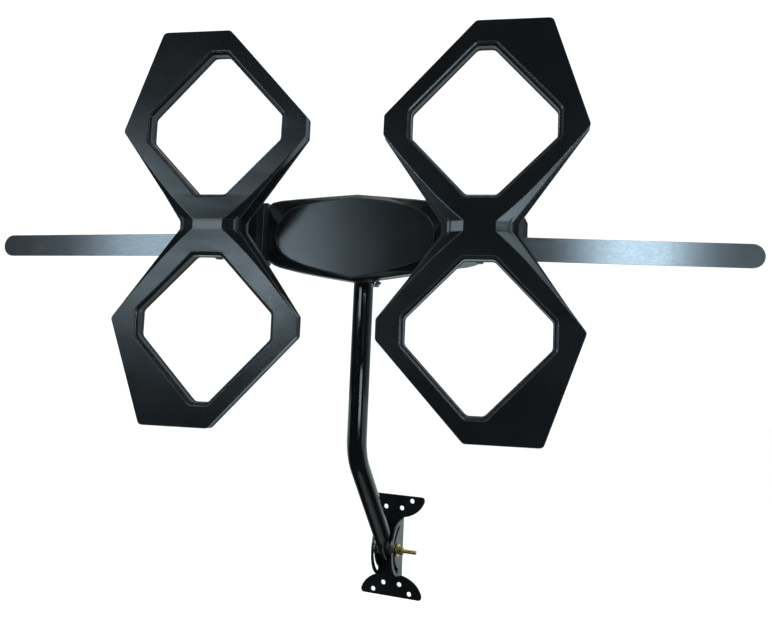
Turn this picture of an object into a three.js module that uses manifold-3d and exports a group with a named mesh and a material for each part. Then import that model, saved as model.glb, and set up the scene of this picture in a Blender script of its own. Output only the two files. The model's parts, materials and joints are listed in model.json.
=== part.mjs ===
// Outdoor television antenna on a bent wall mast.
// Millimetres, +Z up, +X to the right and -Y to the front.
// The origin is the middle of the wall plate's back face, so the wall is the plane Y = 0.
// Groups, from the wall outward: bracket, mast (tilts on the pivot bolt), head (turns round the
// mast) and two loop panels (each turns on the upright bolt in the end of its arm).
import * as THREE from "three";
import { mergeVertices } from "three/addons/utils/BufferGeometryUtils.js";
import Module from "manifold-3d";

const wasm = await Module();
wasm.setup();

// ---------------------------------------------------------------- driving dimensions
const GAP = 0.3; // left between two pieces that touch

// wall bracket
const PLATE_HALF_HEIGHT = 72;
const PLATE_HALF_WIDTH = 46;
const SHEET = 2.2; // sheet steel of plate and ears
const EAR_OUTER = 15.4; // middle of the bracket to the outer face of an ear
const EAR_DEPTH = 44; // plate's front face to the ear's free edge
const EAR_HALF_HEIGHT = 40;
const SLOT_RADIUS = 34.5; // arc slot in each ear, centred near the ear's root
const SLOT_WIDTH = 7;
const SLOT_HALF_ANGLE = 1.05; // radians
const WALL_HOLE = 6.8;
const WALL_HOLES = [
  [27.5, 65.2],
  [12.2, 54],
];
const PIVOT_Y = -24.2; // pivot bolt's axis in front of the wall
const BOLT = 6; // M6 pivot bolt

// mast
const MAST_DIAMETER = 25.4;
const MAST_WALL = 1.6;
const MAST_Y = -148.4; // upright part's axis
const BEND_Z = 143; // where the two straight parts' axes meet
const BEND_RADIUS = 60;
const HUB_Z = 410; // height of the panels' hubs above the pivot
const MAST_TOP = HUB_Z + 38;
const TAB_HALF = 6.5; // half thickness of the flattened lower end
const TAB_RADIUS = 16.2;

// head
const HEAD_TURN = THREE.MathUtils.degToRad(11.8); // head's turn round the mast
const HEAD_FRONT = 145; // panels' front plane in front of the mast's axis
const HOUSING_FRONT = 72;
const HOUSING_BACK = 108;
const SKIN = 2.6; // moulded wall
const HUB_X = 152; // middle of the head to a panel's hub
const HINGE_Y = 36; // panel hinge axis behind the panels' front plane

// panels
const PANEL_BACK = 14.5;
const COVER = 2.4;
const BAND_HALF = 5.5; // half height of the level band across the hub
const HUB_PROUD = 3.5;
const FACET_HUB_X = 17.3;
const WAIST = 34.6; // middle of the hub to the shell's edge at the waist
const LIP = 41; // the same to the back cover's edge

// dipole strips
const STRIP_WIDTH = 26.3;
const STRIP_SHEET = 1.6;
const STRIP_Z = -18.4;
const STRIP_START = 164;
const STRIP_TIP = 452.3;
const STRIP_SWEEP = THREE.MathUtils.degToRad(5.6);
const STRIP_Y = 28; // at the hub's X

// ---------------------------------------------------------------- helpers
const V2 = (x, y) => new THREE.Vector2(x, y);
const V3 = (x, y, z) => new THREE.Vector3(x, y, z);

function toSolid(geometry) {
  const g = geometry.clone();
  g.deleteAttribute("normal");
  g.deleteAttribute("uv");
  const m = mergeVertices(g, 1e-4);
  return new wasm.Manifold(
    new wasm.Mesh({
      numProp: 3,
      vertProperties: new Float32Array(m.attributes.position.array),
      triVerts: new Uint32Array(m.index.array),
    }),
  );
}

function fromSolid(solid) {
  const mesh = solid.getMesh();
  const g = new THREE.BufferGeometry();
  g.setAttribute("position", new THREE.BufferAttribute(new Float32Array(mesh.vertProperties), 3));
  g.setIndex(new THREE.BufferAttribute(new Uint32Array(mesh.triVerts), 1));
  return g;
}

const joined = (...gs) => fromSolid(gs.map(toSolid).reduce((a, b) => a.add(b)));
const cut = (g, ...tools) =>
  fromSolid(tools.map(toSolid).reduce((a, b) => a.subtract(b), toSolid(g)));
const common = (a, b) => fromSolid(toSolid(a).intersect(toSolid(b)));

// A geometry mirrored left to right, with its faces still pointing out.
function mirrored(geometry) {
  const g = mergeVertices(stripped(geometry), 1e-4);
  g.scale(-1, 1, 1);
  const index = g.index.array;
  for (let i = 0; i < index.length; i += 3) {
    [index[i + 1], index[i + 2]] = [index[i + 2], index[i + 1]];
  }
  return g;
}

function stripped(geometry) {
  const g = geometry.clone();
  g.deleteAttribute("normal");
  g.deleteAttribute("uv");
  return g;
}

function box(x0, x1, y0, y1, z0, z1) {
  const g = new THREE.BoxGeometry(x1 - x0, y1 - y0, z1 - z0);
  return g.translate((x0 + x1) / 2, (y0 + y1) / 2, (z0 + z1) / 2);
}

// A cylinder from a to b.
function rod(a, b, radius, sides = 24) {
  const g = new THREE.CylinderGeometry(radius, radius, a.distanceTo(b), sides);
  const turn = new THREE.Quaternion().setFromUnitVectors(V3(0, 1, 0), b.clone().sub(a).normalize());
  g.applyQuaternion(turn);
  const mid = a.clone().add(b).multiplyScalar(0.5);
  return g.translate(mid.x, mid.y, mid.z);
}

// A ring-shaped piece round the line from a to b.
const ring = (a, b, outer, inner, sides = 24) => {
  const over = b.clone().sub(a).normalize();
  return cut(rod(a, b, outer, sides), rod(a.clone().sub(over), b.clone().add(over), inner, sides));
};

// A shape drawn in X and Z, run from y0 to y1.
function slabY(shape, y0, y1, curve = 12) {
  const g = new THREE.ExtrudeGeometry(shape, { depth: y1 - y0, bevelEnabled: false, curveSegments: curve });
  g.rotateX(Math.PI / 2);
  return g.translate(0, y1, 0);
}

// A shape drawn in X and Y, run from z0 to z1.
function slabZ(shape, z0, z1, curve = 12) {
  const g = new THREE.ExtrudeGeometry(shape, { depth: z1 - z0, bevelEnabled: false, curveSegments: curve });
  return g.translate(0, 0, z0);
}

// A shape drawn in Y and Z, run from x0 to x1.
function slabX(shape, x0, x1, curve = 12) {
  const g = new THREE.ExtrudeGeometry(shape, { depth: x1 - x0, bevelEnabled: false, curveSegments: curve });
  g.rotateY(Math.PI / 2);
  g.rotateX(Math.PI / 2);
  return g.translate(x0, 0, 0);
}

const shapeOf = (points) => new THREE.Shape(points);

// A polygon with each corner replaced by an arc of the given radius.
function rounded(points, radius, steps = 4) {
  const out = [];
  const n = points.length;
  points.forEach((p, i) => {
    const toPrev = points[(i + n - 1) % n].clone().sub(p);
    const toNext = points[(i + 1) % n].clone().sub(p);
    const half = Math.acos(toPrev.clone().normalize().dot(toNext.clone().normalize())) / 2;
    const reach = Math.min(radius / Math.tan(half), toPrev.length() * 0.45, toNext.length() * 0.45);
    const a = p.clone().add(toPrev.normalize().multiplyScalar(reach));
    const b = p.clone().add(toNext.normalize().multiplyScalar(reach));
    for (let k = 0; k <= steps; k++) {
      const t = k / steps;
      const u = a.clone().lerp(p, t);
      out.push(u.lerp(p.clone().lerp(b, t), t));
    }
  });
  return out;
}

// A counter-clockwise polygon moved inward by the given distance, corners kept sharp.
function inset(points, distance) {
  const n = points.length;
  return points.map((p, i) => {
    const d1 = p.clone().sub(points[(i + n - 1) % n]).normalize();
    const d2 = points[(i + 1) % n].clone().sub(p).normalize();
    const n1 = V2(-d1.y, d1.x);
    const n2 = V2(-d2.y, d2.x);
    const scale = distance / (1 + n1.dot(n2));
    return p.clone().add(n1.add(n2).multiplyScalar(scale));
  });
}

// A solid through a row of rings with the same number of points; rings: arrays of Vector3.
// With loop set the last ring joins the first, otherwise both ends are closed flat.
function ringSolid(rings, loop = false) {
  const n = rings[0].length;
  const position = rings.flat().flatMap((p) => [p.x, p.y, p.z]);
  const index = [];
  const last = loop ? rings.length : rings.length - 1;
  for (let r = 0; r < last; r++) {
    const a = r * n;
    const b = ((r + 1) % rings.length) * n;
    for (let i = 0; i < n; i++) {
      const j = (i + 1) % n;
      index.push(a + i, a + j, b + j, a + i, b + j, b + i);
    }
  }
  if (!loop) {
    for (const [base, flip] of [[0, true], [(rings.length - 1) * n, false]]) {
      const flat = rings[base / n].map((p) => V2(p.x, p.z));
      const turn = flip !== THREE.ShapeUtils.isClockWise(flat);
      for (const [a, b, c] of THREE.ShapeUtils.triangulateShape(flat, [])) {
        index.push(base + a, base + (turn ? c : b), base + (turn ? b : c));
      }
    }
  }
  const g = new THREE.BufferGeometry();
  g.setAttribute("position", new THREE.Float32BufferAttribute(position, 3));
  g.setIndex(index);
  return g;
}

function outward(geometry) {
  const g = mergeVertices(stripped(geometry), 1e-4);
  const p = g.attributes.position;
  const index = g.index.array;
  let volume = 0;
  for (let i = 0; i < index.length; i += 3) {
    const [a, b, c] = [0, 1, 2].map((k) => V3().fromBufferAttribute(p, index[i + k]));
    volume += a.dot(b.cross(c));
  }
  if (volume < 0) {
    for (let i = 0; i < index.length; i += 3) {
      [index[i + 1], index[i + 2]] = [index[i + 2], index[i + 1]];
    }
  }
  return g;
}

// Hexagon prism round the line from a to b.
function hex(a, b, acrossFlats) {
  return rod(a, b, acrossFlats / Math.sqrt(3), 6);
}

const BLACK_PAINT = { color: 0x16181a, roughness: 0.35, metalness: 0.4 };
const GLOSS_PAINT = { color: 0x101214, roughness: 0.18, metalness: 0.3 };
const BLACK_ABS = { color: 0x1b1e22, roughness: 0.45, metalness: 0 };
const DARK_ABS = { color: 0x121416, roughness: 0.6, metalness: 0 };
const YELLOW_ZINC = { color: 0xb9a24a, roughness: 0.35, metalness: 0.9 };
const ZINC = { color: 0xb9bcc0, roughness: 0.35, metalness: 0.9 };
const NICKEL = { color: 0xc7c3b8, roughness: 0.25, metalness: 1 };
const ALUMINIUM = { color: 0xa9adb1, roughness: 0.4, metalness: 0.9 };
const PTFE = { color: 0xe8e6de, roughness: 0.5, metalness: 0 };
const RUBBER = { color: 0x0c0c0d, roughness: 0.9, metalness: 0 };
const BOARD = { color: 0x1f5a34, roughness: 0.5, metalness: 0.1 };
const FERRITE = { color: 0x3a3a3e, roughness: 0.7, metalness: 0.2 };

function node(group, name, geometry, look) {
  const g = stripped(geometry);
  const mesh = new THREE.Mesh(g, new THREE.MeshStandardMaterial(look));
  g.computeVertexNormals();
  mesh.name = name;
  group.add(mesh);
  return mesh;
}

// ---------------------------------------------------------------- wall bracket
// One pressed sheet: a plate flared at both ends, its waist folded forward into two ears.
function plateShape() {
  const w = PLATE_HALF_WIDTH;
  const h = PLATE_HALF_HEIGHT;
  const root = EAR_HALF_HEIGHT + 1;
  const s = new THREE.Shape();
  s.moveTo(-w + 5, -h);
  s.lineTo(w - 5, -h);
  s.quadraticCurveTo(w + 1, -h, w, -h + 7);
  s.quadraticCurveTo(w - 7, -h + 26, EAR_OUTER, -root);
  s.lineTo(EAR_OUTER, root);
  s.quadraticCurveTo(w - 7, h - 26, w, h - 7);
  s.quadraticCurveTo(w + 1, h, w - 5, h);
  s.lineTo(-w + 5, h);
  s.quadraticCurveTo(-w - 1, h, -w, h - 7);
  s.quadraticCurveTo(-w + 7, h - 26, -EAR_OUTER, root);
  s.lineTo(-EAR_OUTER, -root);
  s.quadraticCurveTo(-w + 7, -h + 26, -w, -h + 7);
  s.quadraticCurveTo(-w - 1, -h, -w + 5, -h);
  for (const [x, z] of WALL_HOLES) {
    for (const [sx, sz] of [[1, 1], [1, -1], [-1, 1], [-1, -1]]) {
      const hole = new THREE.Path();
      hole.absarc(sx * x, sz * z, WALL_HOLE / 2, 0, Math.PI * 2, true);
      s.holes.push(hole);
    }
  }
  return s;
}

// Profile of an ear in Y and Z, root on the plate, rounded free edge, arc slot and bolt hole.
function earShape() {
  const front = -SHEET;
  const points = [V2(-0.6, -EAR_HALF_HEIGHT)];
  const steps = 20;
  for (let k = 0; k <= steps; k++) {
    const t = -Math.PI / 2 + (Math.PI * k) / steps;
    const c = Math.pow(Math.max(0, Math.cos(t)), 0.8);
    const sn = Math.sign(Math.sin(t)) * Math.pow(Math.abs(Math.sin(t)), 0.92);
    points.push(V2(front - EAR_DEPTH * c, EAR_HALF_HEIGHT * sn));
  }
  points.push(V2(-0.6, EAR_HALF_HEIGHT));
  points.reverse();
  const s = new THREE.Shape(points);
  const slot = new THREE.Path();
  const centre = front - 1;
  const a0 = Math.PI - SLOT_HALF_ANGLE;
  const a1 = Math.PI + SLOT_HALF_ANGLE;
  const r = SLOT_WIDTH / 2;
  slot.absarc(centre, 0, SLOT_RADIUS + r, a0, a1, false);
  slot.absarc(
    centre + SLOT_RADIUS * Math.cos(a1),
    SLOT_RADIUS * Math.sin(a1),
    r, a1, a1 + Math.PI, false,
  );
  slot.absarc(centre, 0, SLOT_RADIUS - r, a1, a0, true);
  slot.absarc(
    centre + SLOT_RADIUS * Math.cos(a0),
    SLOT_RADIUS * Math.sin(a0),
    r, a0 + Math.PI, a0 + Math.PI * 2, false,
  );
  s.holes.push(slot);
  const hole = new THREE.Path();
  hole.absarc(PIVOT_Y, 0, BOLT / 2 + GAP, 0, Math.PI * 2, true);
  s.holes.push(hole);
  return s;
}

// slabX puts the shape's first axis on Y and its second on Z.
function wallBracket() {
  const plate = slabY(plateShape(), -SHEET, 0, 8);
  const ear = slabX(earShape(), EAR_OUTER - SHEET, EAR_OUTER, 8);
  const other = slabX(earShape(), -EAR_OUTER, -EAR_OUTER + SHEET, 8);
  return joined(plate, ear, other);
}

const bracket = new THREE.Group();
bracket.name = "bracket";
node(bracket, "wall_bracket", wallBracket(), BLACK_PAINT);

const pivotAt = (x) => V3(x, PIVOT_Y, 0);
const WASHER = 1.6;
const NUT = 5.2; // thickness of the pivot nut
let outX = EAR_OUTER + GAP;
const pivotWasher = (x) => ring(pivotAt(x), pivotAt(x + WASHER), 9, BOLT / 2 + GAP);
node(bracket, "pivot_washer_right", pivotWasher(outX), YELLOW_ZINC);
outX += WASHER + GAP;
node(bracket, "pivot_lock_washer", ring(pivotAt(outX), pivotAt(outX + 1.6), 5.6, BOLT / 2 + GAP), YELLOW_ZINC);
outX += 1.6 + GAP;
node(
  bracket,
  "pivot_nut",
  cut(
    hex(pivotAt(outX), pivotAt(outX + NUT), 10),
    rod(pivotAt(outX - 1), pivotAt(outX + 8), BOLT / 2 + GAP),
  ),
  YELLOW_ZINC,
);
const BOLT_END = outX + NUT + 19;
const inX = -EAR_OUTER - GAP;
node(bracket, "pivot_washer_left", pivotWasher(inX - WASHER), YELLOW_ZINC);
const headX = inX - WASHER - GAP;
node(
  bracket,
  "pivot_bolt",
  joined(
    hex(pivotAt(headX - 4.1), pivotAt(headX), 10),
    rod(pivotAt(headX - 1), pivotAt(BOLT_END - 1), BOLT / 2),
    rod(pivotAt(BOLT_END - 2), pivotAt(BOLT_END), BOLT / 2 - 0.7),
  ),
  YELLOW_ZINC,
);

// ---------------------------------------------------------------- mast
// The tube's middle line runs down, round the bend and on to the pivot.
const mast = new THREE.Group();
mast.name = "mast";
const ARM = V2(PIVOT_Y - MAST_Y, -BEND_Z);
const ARM_LENGTH = ARM.length();
const ARM_DIR = ARM.clone().normalize();
const BEND_ANGLE = Math.atan2(ARM.x, -ARM.y);
const TANGENT = BEND_RADIUS * Math.tan(BEND_ANGLE / 2);

// Stations along the middle line: position, direction and how far the tube is flattened there.
function mastStations() {
  const list = [];
  const down = V2(0, -1);
  const upper = BEND_Z + TANGENT;
  list.push({ p: V2(MAST_Y, MAST_TOP), d: down, f: 0 });
  const steps = 9;
  for (let k = 0; k <= steps; k++) {
    const a = (BEND_ANGLE * k) / steps;
    const y = MAST_Y + BEND_RADIUS * (1 - Math.cos(a));
    const z = upper - BEND_RADIUS * Math.sin(a);
    list.push({ p: V2(y, z), d: V2(Math.sin(a), -Math.cos(a)), f: 0 });
  }
  const corner = V2(MAST_Y, BEND_Z);
  const along = (s) => corner.clone().add(ARM_DIR.clone().multiplyScalar(s));
  const squeeze = 5;
  for (let k = 0; k <= squeeze; k++) {
    const t = k / squeeze;
    const f = t * t * (3 - 2 * t);
    list.push({ p: along(ARM_LENGTH - 36 + 22 * t), d: ARM_DIR, f });
  }
  list.push({ p: along(ARM_LENGTH + TAB_RADIUS), d: ARM_DIR, f: 1 });
  return list;
}

function mastRing(station, wall) {
  const { p, d, f } = station;
  const round = MAST_DIAMETER / 2;
  const a = THREE.MathUtils.lerp(round, TAB_HALF, f) - wall;
  const b = THREE.MathUtils.lerp(round, TAB_RADIUS, f) - wall;
  const power = THREE.MathUtils.lerp(1, 0.62, f);
  const out = [];
  const sides = 28;
  for (let k = 0; k < sides; k++) {
    const t = (2 * Math.PI * k) / sides;
    const c = Math.sign(Math.cos(t)) * Math.pow(Math.abs(Math.cos(t)), power);
    const s = Math.sign(Math.sin(t)) * Math.pow(Math.abs(Math.sin(t)), power);
    out.push(V3(a * c, p.x - d.y * b * s, p.y + d.x * b * s));
  }
  return out;
}

function mastTube() {
  const stations = mastStations();
  const outer = stations.map((s) => mastRing(s, 0));
  const inner = stations.map((s) => mastRing(s, MAST_WALL)).reverse();
  const tube = outward(ringSolid([...outer, ...inner], true));
  const bolt = rod(V3(-20, PIVOT_Y, 0), V3(20, PIVOT_Y, 0), BOLT / 2 + GAP);
  const tip = box(-20, 20, 0, 40, -40, 40);
  const corner = cut(tip, rod(V3(-30, 0, 0), V3(30, 0, 0), TAB_RADIUS, 48));
  corner.rotateX(-Math.atan2(-ARM_DIR.y, ARM_DIR.x));
  corner.translate(0, PIVOT_Y, 0);
  return cut(tube, bolt, corner);
}
node(mast, "mast_tube", mastTube(), GLOSS_PAINT);

function mastCap() {
  const r = MAST_DIAMETER / 2;
  const fit = r - MAST_WALL - GAP;
  const c = [
    V2(0, MAST_TOP - 12),
    V2(fit - 0.8, MAST_TOP - 12),
    V2(fit, MAST_TOP - 10),
    V2(fit, MAST_TOP + GAP),
    V2(r, MAST_TOP + GAP),
    V2(r, MAST_TOP + 2),
    V2(r - 1.2, MAST_TOP + 3),
    V2(0, MAST_TOP + 3),
  ];
  const g = new THREE.LatheGeometry(c, 24);
  g.rotateX(Math.PI / 2);
  return outward(g.translate(0, MAST_Y, 0));
}
node(mast, "mast_cap", mastCap(), RUBBER);

// Spacers on the pivot bolt fill the room between the flattened end and the ears.
const spacerOuter = EAR_OUTER - SHEET - GAP;
for (const [side, name] of [[1, "right"], [-1, "left"]]) {
  const a = Math.min(side * (TAB_HALF + GAP), side * spacerOuter);
  const b = Math.max(side * (TAB_HALF + GAP), side * spacerOuter);
  node(bracket, `pivot_spacer_${name}`, ring(pivotAt(a), pivotAt(b), 8, BOLT / 2 + GAP), ZINC);
}

// ---------------------------------------------------------------- head: housing
// Head frame: X right, Y back from the panels' front plane, Z up from the hubs, before the
// head is turned and set on the mast.
const head = new THREE.Group();
head.name = "head";

// Right half of the housing's outline and of its front face, from the top middle to the bottom.
const OUTLINE_HALF = [
  [0, 54.5], [38, 51.6], [70, 49], [95, 46.6], [107, 44], [112, 38], [112, 3],
  [112, -20], [109.5, -29], [99, -34.8], [70, -41.2], [38, -46.6], [0, -52],
];
const FACE_HALF = [
  [0, 49], [38, 45], [62, 40.5], [77, 35.5], [88, 27], [95.5, 15.5], [98, 2],
  [95.5, -10.5], [88.5, -20.5], [77, -28.5], [61, -34.5], [38, -40.5], [0, -48.5],
];

// Whole counter-clockwise polygon from a right half.
function whole(half) {
  const right = half.map(([x, z]) => V2(x, z)).reverse();
  const left = half.slice(1, -1).map(([x, z]) => V2(-x, z));
  return [...right, ...left];
}

const ringAt = (points, y) => points.map((p) => V3(p.x, y, p.y));

const outline = whole(OUTLINE_HALF);
const face = whole(FACE_HALF);
const SPLIT = 91;
const soft = (points, r) => rounded(points, r, 1);

function housingFront() {
  const body = outward(
    ringSolid([
      ringAt(soft(inset(face, 1.2), 3), HOUSING_FRONT),
      ringAt(soft(face, 3), HOUSING_FRONT + 0.8),
      ringAt(soft(inset(outline, 2), 5), HOUSING_FRONT + 6),
      ringAt(soft(outline, 5), HOUSING_FRONT + 10),
      ringAt(soft(outline, 5), SPLIT),
    ]),
  );
  const inside = outward(
    ringSolid([
      ringAt(soft(inset(face, SKIN + 1.2), 3), HOUSING_FRONT + SKIN),
      ringAt(soft(inset(outline, SKIN + 2), 4), HOUSING_FRONT + 6 + SKIN),
      ringAt(soft(inset(outline, SKIN), 4), SPLIT + 1),
    ]),
  );
  const shell = cut(body, inside);
  const posts = BOARD_SCREWS.map(([x, z]) => {
    const post = rod(V3(x, HOUSING_FRONT + 2, z), V3(x, BOARD_Y - GAP, z), 4, 20);
    return cut(post, rod(V3(x, HOUSING_FRONT + 6, z), V3(x, BOARD_Y, z), 1.5 + GAP / 2, 16));
  });
  const corners = HOUSING_SCREWS.map(([x, z]) => {
    const post = rod(V3(x, HOUSING_FRONT + 2, z), V3(x, SPLIT, z), 4.5, 20);
    return cut(post, rod(V3(x, HOUSING_FRONT + 8, z), V3(x, SPLIT + 1, z), 1.9, 16));
  });
  return joined(shell, ...posts, ...corners);
}

const BOARD_Y = 92;
const BOARD_SCREWS = [[-42, 0], [42, 0]];
const HOUSING_SCREWS = [[-84, 26], [84, 26], [-84, -22], [84, -22]];
const SADDLE_HALF_X = 35;
const SADDLE_HALF_Z = 30;
const SADDLE_BACK = HEAD_FRONT - 4.5;
const CLAMP_X = 25;
const CLAMP_BOLT = 6;
const JACK_X = 24.5;
const JACK_Y = 99.4;

// V groove round the mast; side -1 opens backward from the saddle, +1 forward from the jaw.
function veeTool(side) {
  const reach = (MAST_DIAMETER / 2 + GAP) * Math.SQRT2;
  const apex = HEAD_FRONT + side * reach;
  const far = 60;
  const points = [V2(0, apex), V2(far, apex - side * far), V2(-far, apex - side * far)];
  return slabZ(shapeOf(side > 0 ? points.reverse() : points), -60, 60);
}

function housingRear() {
  const start = SPLIT + GAP * 2 + 1.5;
  const body = outward(
    ringSolid([
      ringAt(soft(outline, 5), start),
      ringAt(soft(outline, 5), HOUSING_BACK - 6),
      ringAt(soft(inset(outline, 2), 5), HOUSING_BACK - 2),
      ringAt(soft(inset(outline, 4.5), 5), HOUSING_BACK),
    ]),
  );
  const inside = outward(
    ringSolid([
      ringAt(soft(inset(outline, SKIN), 4), start - 1),
      ringAt(soft(inset(outline, SKIN), 4), HOUSING_BACK - 6),
      ringAt(soft(inset(outline, SKIN + 2), 4), HOUSING_BACK - SKIN),
    ]),
  );
  const shell = cut(body, inside);
  const x = SADDLE_HALF_X;
  const block = slabZ(
    shapeOf([
      V2(-x, HOUSING_BACK - 1),
      V2(x, HOUSING_BACK - 1),
      V2(x, SADDLE_BACK - 8),
      V2(x - 5, SADDLE_BACK),
      V2(-x + 5, SADDLE_BACK),
      V2(-x, SADDLE_BACK - 8),
    ]),
    -SADDLE_HALF_Z,
    SADDLE_HALF_Z,
  );
  const saddle = cut(block, veeTool(-1));
  const corners = HOUSING_SCREWS.map(([sx, z]) =>
    rod(V3(sx, start, z), V3(sx, HOUSING_BACK - 1, z), 4.5, 20),
  );
  const boltHole = (at) => rod(V3(at, 90, 0), V3(at, 150, 0), CLAMP_BOLT / 2 + GAP, 24);
  const tools = [
    ...[-1, 1].map((s) => boltHole(s * CLAMP_X)),
    ...HOUSING_SCREWS.map(([sx, z]) => rod(V3(sx, start - 2, z), V3(sx, 120, z), 1.75 + GAP, 16)),
    ...HOUSING_SCREWS.map(([sx, z]) => rod(V3(sx, HOUSING_BACK - 2.6, z), V3(sx, 120, z), 3.6, 20)),
    rod(V3(JACK_X, JACK_Y, -60), V3(JACK_X, JACK_Y, -40), 4.8 + GAP, 24),
  ];
  return cut(joined(shell, saddle, ...corners), ...tools);
}

function ringPrism(points, innerPoints, y0, y1) {
  const s = shapeOf(points);
  s.holes.push(new THREE.Path(innerPoints));
  return slabY(s, y0, y1);
}

node(head, "housing_front", housingFront(), BLACK_ABS);
node(head, "housing_rear", housingRear(), DARK_ABS);
node(
  head,
  "housing_seal",
  ringPrism(
    soft(inset(outline, 0.5), 5),
    soft(inset(outline, SKIN - 0.2), 4),
    SPLIT + GAP,
    SPLIT + GAP + 1.5,
  ),
  RUBBER,
);
for (const [i, [x, z]] of HOUSING_SCREWS.entries()) {
  const y = HOUSING_BACK - 2.6 + GAP;
  node(
    head,
    `housing_screw_${i + 1}`,
    joined(
      rod(V3(x, HOUSING_FRONT + 10, z), V3(x, y + 1, z), 1.6, 12),
      rod(V3(x, y, z), V3(x, y + 2, z), 3.2, 16),
    ),
    ZINC,
  );
}

// board, its transformer core and two screws
const boardShape = shapeOf([V2(-52, -24), V2(52, -24), V2(52, 24), V2(-52, 24)]);
for (const [x, z] of BOARD_SCREWS) {
  const hole = new THREE.Path();
  hole.absarc(x, z, 1.6 + GAP, 0, Math.PI * 2, true);
  boardShape.holes.push(hole);
}
node(head, "circuit_board", slabY(boardShape, BOARD_Y, BOARD_Y + 1.6), BOARD);
node(head, "balun_core", ring(V3(0, BOARD_Y - 8.3, 4), V3(0, BOARD_Y - GAP, 4), 9, 4.5, 28), FERRITE);
for (const [i, [x, z]] of BOARD_SCREWS.entries()) {
  const y = BOARD_Y + 1.6 + GAP;
  node(
    head,
    `board_screw_${i + 1}`,
    joined(
      rod(V3(x, HOUSING_FRONT + 8, z), V3(x, y + 1, z), 1.35, 12),
      rod(V3(x, y, z), V3(x, y + 1.8, z), 2.8, 14),
    ),
    ZINC,
  );
}

// coaxial jack under the housing: flanged threaded body, washer and nut outside
const jackAt = (z) => V3(JACK_X, JACK_Y, z);
const JACK_FLOOR = -50; // just outside the housing's underside
node(
  head,
  "coax_jack",
  cut(
    joined(rod(jackAt(-42.4), jackAt(-40.6), 5.7), rod(jackAt(-56), jackAt(-41.4), 4.8)),
    rod(jackAt(-60), jackAt(-47), 3.6),
  ),
  NICKEL,
);
node(
  head,
  "coax_insulator",
  cut(rod(jackAt(-54), jackAt(-47.3), 3.3), rod(jackAt(-60), jackAt(-49), 0.8, 12)),
  PTFE,
);
const jackNut = hex(jackAt(JACK_FLOOR - 3), jackAt(JACK_FLOOR), 12.5);
node(head, "coax_jack_nut", cut(jackNut, rod(jackAt(-60), jackAt(-40), 4.8 + GAP, 32)), NICKEL);

// ---------------------------------------------------------------- head: mast clamp
function clampJaw() {
  const x = SADDLE_HALF_X;
  const front = HEAD_FRONT + 4.5;
  const back = HEAD_FRONT + 24;
  const block = slabZ(
    shapeOf([
      V2(-x, front + 3),
      V2(-x + 3, front),
      V2(x - 3, front),
      V2(x, front + 3),
      V2(x, front + 9),
      V2(19, back),
      V2(-19, back),
      V2(-x, front + 9),
    ]),
    -20,
    20,
  );
  const bore = (s, from, radius) => rod(V3(s * CLAMP_X, from, 0), V3(s * CLAMP_X, 190, 0), radius, 24);
  const holes = [-1, 1].map((s) => bore(s, 140, CLAMP_BOLT / 2 + GAP));
  const seats = [-1, 1].map((s) => bore(s, front + 9, 8.4));
  return cut(block, veeTool(1), ...holes, ...seats);
}
node(head, "clamp_jaw", clampJaw(), DARK_ABS);

const SEAT_Y = HEAD_FRONT + 13.5;
function wingNut(x) {
  const y = SEAT_Y + GAP * 2 + 1.2;
  const hub = rod(V3(x, y, 0), V3(x, y + 7, 0), 5.4, 24);
  const wing = (s) => {
    const w = new THREE.Shape();
    w.moveTo(s * 3, 0);
    w.lineTo(s * 14, 12);
    w.lineTo(s * 16, 20);
    w.quadraticCurveTo(s * 11, 22, s * 8, 16);
    w.lineTo(s * 3, 9);
    const points = w.getPoints(6);
    const turned = s > 0 ? points : points.reverse();
    const g = new THREE.ExtrudeGeometry(shapeOf(turned), { depth: 2.4, bevelEnabled: false });
    g.translate(0, 0, -1.2);
    return g;
  };
  const wings = [-1, 1].map((s) => wing(s).rotateY(Math.PI / 2).translate(x, y, 0));
  const bore = rod(V3(x, y - 1, 0), V3(x, y + 30, 0), CLAMP_BOLT / 2 + GAP, 24);
  return cut(joined(hub, ...wings), bore);
}
for (const [s, name] of [[-1, "left"], [1, "right"]]) {
  const x = s * CLAMP_X;
  node(
    head,
    `clamp_bolt_${name}`,
    joined(
      hex(V3(x, HOUSING_BACK - SKIN - GAP - 4.2, 0), V3(x, HOUSING_BACK - SKIN - GAP, 0), 10),
      rod(V3(x, HOUSING_BACK - SKIN - 2, 0), V3(x, SEAT_Y + 16, 0), CLAMP_BOLT / 2, 24),
    ),
    ZINC,
  );
  const seat = SEAT_Y + GAP;
  node(head, `clamp_washer_${name}`, ring(V3(x, seat, 0), V3(x, seat + 1.2, 0), 7, 3.3, 28), ZINC);
  node(head, `clamp_wing_nut_${name}`, wingNut(x), ZINC);
}

// ---------------------------------------------------------------- head: arms and strips
// Right arm; the left one is its mirror image. It leaves the housing's end, sweeps forward
// and ends in a box behind the panel's hub that holds the hinge bolt and the strip's root.
const ARM_FRONT = [
  [112.4, 82], [117, 81], [122.5, 74], [127, 60], [131, 44],
  [136, 31], [144, 25.6], [164, 25.6], [197.6, 29.7], [203, 35.6],
];
const ARM_BACK = [
  [203, 45], [199, 48], [166, 48], [157, 49], [151, 62],
  [144, 80], [134, 95], [122, 102.5], [112.4, 104],
];
const HINGE_BOLT = 5;
const KNUCKLE = [-11, 7]; // bottom and top of the panel's knuckle
const ARM_BOTTOM = -31;

function stripFrame(g) {
  g.rotateZ(STRIP_SWEEP);
  return g.translate(HUB_X, STRIP_Y, STRIP_Z);
}

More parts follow.
